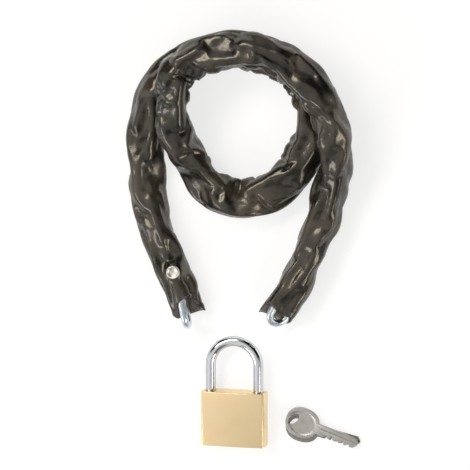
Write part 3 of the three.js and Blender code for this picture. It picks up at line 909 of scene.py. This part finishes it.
def key_plug():
    """The plug with its keyway, its pin holes and the groove of its retaining pin."""
    plug = lock_rod("key_plug", 5.9, 0.3, 24.3, (0, 0, 0), "Y", 64)
    plug = bevel(plug, 0.35 * MM, 2, 50)
    tools = [
        lock_block("keyway_wide", (-3.6, 4.4), (-1, 21.5), (-1.3, 0.5)),
        lock_block("keyway_slim", (-3.6, 0.4), (-1, 21.5), (0.2, 1.3)),
        lock_block("keyway_far", (1.9, 4.4), (-1, 21.5), (0.2, 1.3)),
    ]
    tools += [lock_rod(f"pin_hole_{y}", 1.6, -7, -2, (0, y, 0), "X", 20) for y in PIN_ROWS]
    groove = lock_rod("groove", 6.6, 22, 25, (0, 0, 0), "Y", 48)
    groove = cut(groove, lock_rod("groove_core", 4.5, 21, 26, (0, 0, 0), "Y", 48))
    plug = cut(plug, *tools, groove)
    sharpen(plug, 30)
    dress(plug, BRASS)
    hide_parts("cylinder_plug")
    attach(plug, "plug")


padlock_case()
shackle_bar()
key_plug()


# ---- The keys --------------------------------------------------------------------------------


# A key's measures, in millimetres: X from the middle of its bow to its tip, Y across.
BOW = (13.4, 11.8)
BOW_SQUARENESS = 2.3
BOW_GAP = 0.36  # half the angle of the bow that the blade takes up, in radians
SLOT_AT, SLOT_SIZE, SLOT_TILT = (-7.4, 0.4), (5.4, 2.9), math.radians(62)
CUT_TOPS = (-2.6, -1.4, -3.0, -1.9, -2.5)
BLADE_END = 48
# The dish pressed into the bow: radius and depth, as shares of its size.
DISH = [(0, -0.62), (0.8, -0.56), (0.93, -0.42), (1.0, 0.06), (1.02, 1.0), (0, 1.0)]
DISH_SIZE = (11.2 * MM, 9.6 * MM, 0.8 * MM, 1)


def key_outline():
    """The key's edge, from the blade round the bow and back, and along the cuts."""
    points = []
    for i in range(73):
        angle = BOW_GAP + (2 * math.pi - 2 * BOW_GAP) * i / 72
        c, s = math.cos(angle), math.sin(angle)
        squared = (abs(c) ** BOW_SQUARENESS + abs(s) ** BOW_SQUARENESS) ** (-1 / BOW_SQUARENESS)
        points.append((BOW[0] * squared * c, BOW[1] * squared * s))
    points += [(15.2, -4.25), (17, -4.4)]
    for i, top in enumerate(CUT_TOPS):
        middle = 20.5 + 4.6 * i
        points += [(middle - 1.6, -4.3), (middle - 0.5, top)]
        points += [(middle + 0.5, top), (middle + 1.6, -4.3)]
    points += [(43.5, -3.6), (45.6, -1.4), (46.5, 0.4), (45.9, 1.8), (43.9, 4.3), (15.4, 4.3)]
    return points


def key_slot():
    """The edge of the slanting slot in the bow."""
    points = []
    c, s = math.cos(SLOT_TILT), math.sin(SLOT_TILT)
    for i in range(40):
        angle = -2 * math.pi * i / 40
        x, y = SLOT_SIZE[0] * math.cos(angle), SLOT_SIZE[1] * math.sin(angle)
        points.append((SLOT_AT[0] + x * c - y * s, SLOT_AT[1] + x * s + y * c))
    return points


def key_blank(name, thick):
    """A flat key with softly rounded edges, lying round the origin."""
    data = bpy.data.curves.new(name, "CURVE")
    data.dimensions = "2D"
    data.fill_mode = "BOTH"
    for ring in (key_outline(), key_slot()):
        spline = data.splines.new("POLY")
        spline.points.add(len(ring) - 1)
        for point, (x, y) in zip(spline.points, ring):
            point.co = (x * MM, y * MM, 0, 1)
        spline.use_cyclic_u = True
    soft = 0.35 * MM
    data.extrude = thick / 2 - soft
    data.bevel_depth = soft
    data.bevel_resolution = 3
    data.offset = -soft
    obj = bpy.data.objects.new(name, data)
    scene.collection.objects.link(obj)
    obj = settle(obj)
    welded = obj.modifiers.new("weld", "WELD")
    welded.merge_threshold = 0.00001
    return facing_out(settle(obj))


def blade_tool(name, start, low, high, depth, thick):
    """A block that cuts the blade's upper face from a start to the key's tip."""
    outline = [(start, low), (BLADE_END, low), (BLADE_END, high), (start, high)]
    outline = [(x * MM, y * MM) for x, y in outline]
    return facing_out(prism(name, outline, thick / 2 - depth * MM, thick / 2 + 1 * MM))


def key_solid(name, node, at, turn, body, material):
    """A key in its CAD node's place: dished bow, one groove and the thinned edge of the cuts."""
    low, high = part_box(node)
    thick = high[2] - low[2]
    obj = key_blank(name, thick)
    dish = turned(name + "_dish", DISH, 64, (0, 0, 0))
    dish.data.transform(Matrix.Translation((0, 0, thick / 2)) @ Matrix.Diagonal(DISH_SIZE))
    facing_out(dish)
    groove = blade_tool(name + "_groove", 15.5, 0.5, 1.9, 0.8, thick)
    step = blade_tool(name + "_step", 17.5, -5, -1.1, 0.45, thick)
    obj = cut(obj, dish, groove, step)
    place = Matrix.Translation((at[0] * MM, at[1] * MM, (low[2] + high[2]) / 2))
    obj.data.transform(place @ Matrix.Rotation(math.radians(turn), 4, "Z"))
    sharpen(obj, 28)
    dress(obj, material)
    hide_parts(node)
    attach(obj, body)


# The lower key's nickel is darkened as painted shade, for the upper key's shadow on it.
key_solid("bottom_key", "lower_key", (44, -149.2), -12.5, "lower_key", KEY_PAINTED_SHADE)
key_solid("top_key", "upper_key", (44.3, -145.4), -19, "upper_key", KEY_NICKEL)


def coil_spring(name, node, along, wire, turns, joint=None):
    """A wound spring with closed ends in a CAD spring's place, given its own mesh where a joint is
    named.
    """
    low, high = (Vector(corner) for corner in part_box(node))
    along, across = Vector(along), Vector((0, 0, 1))
    side = along.cross(across)
    start = (low + high) / 2 - along * (high - low).dot(along) / 2
    length = (high - low).dot(along)
    radius = (high.z - low.z) / 2 - wire
    # The first and the last turn lie closed, and the rest are evenly spread between them.
    pitches = ((0, 1, turns - 1, turns), (wire, 3 * wire, length - 3 * wire, length - wire))
    steps = 20
    line = []
    for i in range(steps * turns + 1):
        angle = 2 * math.pi * i / steps
        reach = float(np.interp(i / steps, *pitches))
        out = side * math.cos(angle) + across * math.sin(angle)
        line.append(start + along * reach + radius * out)
    spring = swept(name, line, [wire] * len(line), 8, along)
    dress(facing_out(spring), SPRING)
    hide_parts(node)
    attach(spring, "padlock")
    if joint:
        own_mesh(spring)


for number in range(1, 6):
    coil_spring(
        f"driver_coil_{number}", f"driver_spring_{number}", (1, 0, 0), 0.22 * MM, 8,
        f"driver_{number}_slide",
    )
coil_spring("bolt_coil", "bolt_spring", (1, 0, 0), 0.3 * MM, 7, "bolt_retract")
coil_spring("shackle_coil", "shackle_spring", (0, 1, 0), 0.42 * MM, 7)

# Inner parts keep their CAD shapes and take real finishes.
for node, obj in frame["nodes"].items():
    if node.startswith(("key_pin", "driver_pin", "pin_chamber")):
        obj.material_slots[0].material = BRASS
    elif node in ("locking_bolt", "plug_cam", "heel_retaining_pin", "plug_retaining_pin"):
        obj.material_slots[0].material = STEEL
    elif node == "rivet_washer":
        obj.material_slots[0].material = NICKEL

# ---- The sleeve's film -----------------------------------------------------------------------

PRESSED = 4.6 * MM  # radius of the film that the rivet holds flat
PRESSED_FADE = 3.2 * MM
WASHER_TOP = 0.9 * MM


def under_rivet(rings):
    """Presses the film flat under the rivet's head and over its washer."""
    rings = rings.copy()
    away = np.linalg.norm(rings[:, :, :2] - np.array(RIVET_AT), axis=2)
    tail = np.arange(RINGS)[:, None] < RINGS // 8
    middle = rings.mean(1)[:, None, 2]
    for above, height in ((True, HEAD_BASE - FILM), (False, WASHER_TOP + FILM)):
        near = np.exp(-((np.maximum(away - PRESSED, 0) / PRESSED_FADE) ** 2))
        near = near * tail * ((rings[:, :, 2] > middle) == above)
        rings[:, :, 2] += near * (height - rings[:, :, 2])
    return rings


def film_piece(name, rings, body, nodes):
    """One piece of the sleeve: a film tube round its rings, which hides the CAD parts that it
    stands for.

    The rings run from the cut under the second turn to the mouth, or the other way round.
    """
    sleeve = thick_tube(name, rings)
    sleeve.data.materials.append(VINYL)
    sleeve.data.materials.append(VINYL_INSIDE)
    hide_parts(*nodes)
    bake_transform(sleeve)
    path = rings.mean(1)
    if body == "left_tail":
        path = path[::-1]


laid, slack, line = sleeve_start()
film = centred(draped(laid, slack), line)
film = cut_back(under_rivet(over_chain(film, line)))
film[:, :, 2] = np.maximum(film[:, :, 2], FILM_LOWEST)

# The film is cut once, where it is hidden under its own second turn.
CUT_RING = int(RINGS * 0.294)
film_piece(
    "sleeve_left", film[: CUT_RING + 1], "left_tail",
    ("sleeve_left_tail", "sleeve_loop"),
)
film_piece(
    "sleeve_right", film[CUT_RING:], "right_tail",
    ("sleeve_right_tail",),
)

# ---- Table, light ----------------------------------------------------------------------------

paper = Nodes("white_table", (0.35, 0.35, 0.35), 0.9)
cloud = paper.noise(paper.place, 3, 2)
paper.color(paper.ramp(cloud, 0.3, 0.7, (0.34, 0.34, 0.34), (0.36, 0.36, 0.36)))
paper.shader.inputs["Emission Color"].default_value = (1, 1, 1, 1)
paper.shader.inputs["Emission Strength"].default_value = 0.72
table = new_object("table", [(-9, -9, 0), (9, -9, 0), (9, 9, 0), (-9, 9, 0)], [(0, 1, 2, 3)])
table.data.materials.append(paper.material)


def softbox(name, at, size, power, color=(1, 1, 1)):
    """A rectangular area light that faces the origin."""
    data = bpy.data.lights.new(name, "AREA")
    data.shape = "RECTANGLE"
    data.size, data.size_y = size
    data.energy = power
    data.color = color
    light = bpy.data.objects.new(name, data)
    light.location = at
    light.rotation_mode = "QUATERNION"
    light.rotation_quaternion = Vector(at).to_track_quat("Z", "Y")
    scene.collection.objects.link(light)


WARM = (1.0, 0.95, 0.86)
softbox("key_light", (-0.9, 0.9, 1.5), (1.5, 0.55), 17, WARM)
softbox("left_light", (-1.3, -1.0, 1.0), (0.9, 0.4), 6)
softbox("right_light", (1.25, -0.95, 1.1), (1.0, 0.5), 8, WARM)

world = bpy.data.worlds.new("studio")
scene.world = world
world.use_nodes = True
sky = world.node_tree


def sky_node(kind, **settings):
    node = sky.nodes.new("ShaderNode" + kind)
    for key, value in settings.items():
        setattr(node, key, value)
    return node


def sky_range(value, low, high, a, b):
    node = sky_node("MapRange")
    for socket, number in zip(("From Min", "From Max", "To Min", "To Max"), (low, high, a, b)):
        node.inputs[socket].default_value = number
    sky.links.new(value, node.inputs["Value"])
    return node.outputs["Result"]


def sky_math(operation, *values):
    node = sky_node("Math", operation=operation)
    for socket, value in zip(node.inputs, values):
        sky.links.new(value, socket)
    return node.outputs[0]


# The sky's brightness from the horizon to the zenith.
split = sky_node("SeparateXYZ")
sky.links.new(sky_node("TexCoord").outputs["Generated"], split.inputs[0])
east, north, height = split.outputs
ramp = sky_node("ValToRGB")
sky.links.new(height, ramp.inputs["Fac"])
stops = ramp.color_ramp.elements
stops[0].position, stops[0].color = 0.0, (0.1, 0.1, 0.1, 1)
stops[1].position, stops[1].color = 1.0, (0.74, 0.74, 0.74, 1)
for position, value in (
    (0.08, 0.12), (0.2, 0.7), (0.4, 0.4), (0.65, 0.1), (0.86, 0.22), (0.93, 0.7),
):
    stop = stops.new(position)
    stop.color = (value, value, value, 1)
# Dark flags to the left and the right behind the set, which the shackle's shoulders reflect.
flags = sky_math("MULTIPLY", sky_math("ABSOLUTE", east), north)
flags = sky_range(flags, 0.12, 0.2, 1.0, 0.02)
level = sky_math("MULTIPLY", flags, ramp.outputs["Color"])
# Two light strips across the zenith, which the shackle's legs and its crown reflect.
offset = sky_range(north, -1, 1, -0.81, 1.19)
along_x = sky_range(sky_math("ABSOLUTE", offset), 0.2, 0.34, 0.72, 0.0)
offset = sky_range(east, -1, 1, -0.76, 1.24)
along_y = sky_range(sky_math("ABSOLUTE", offset), 0.14, 0.28, 0.72, 0.0)
strips = sky_math("MAXIMUM", along_x, along_y)
strips = sky_math("MULTIPLY", strips, sky_range(height, 0.12, 0.3, 0.0, 1.0))
level = sky_math("MAXIMUM", level, strips)
level = sky_math("MULTIPLY", level, sky_range(east, -0.6, 0.3, 1.15, 0.7))
sky.links.new(level, sky.nodes["Background"].inputs["Color"])
sky.nodes["Background"].inputs["Strength"].default_value = 1.0
scene.view_settings.view_transform = "Standard"
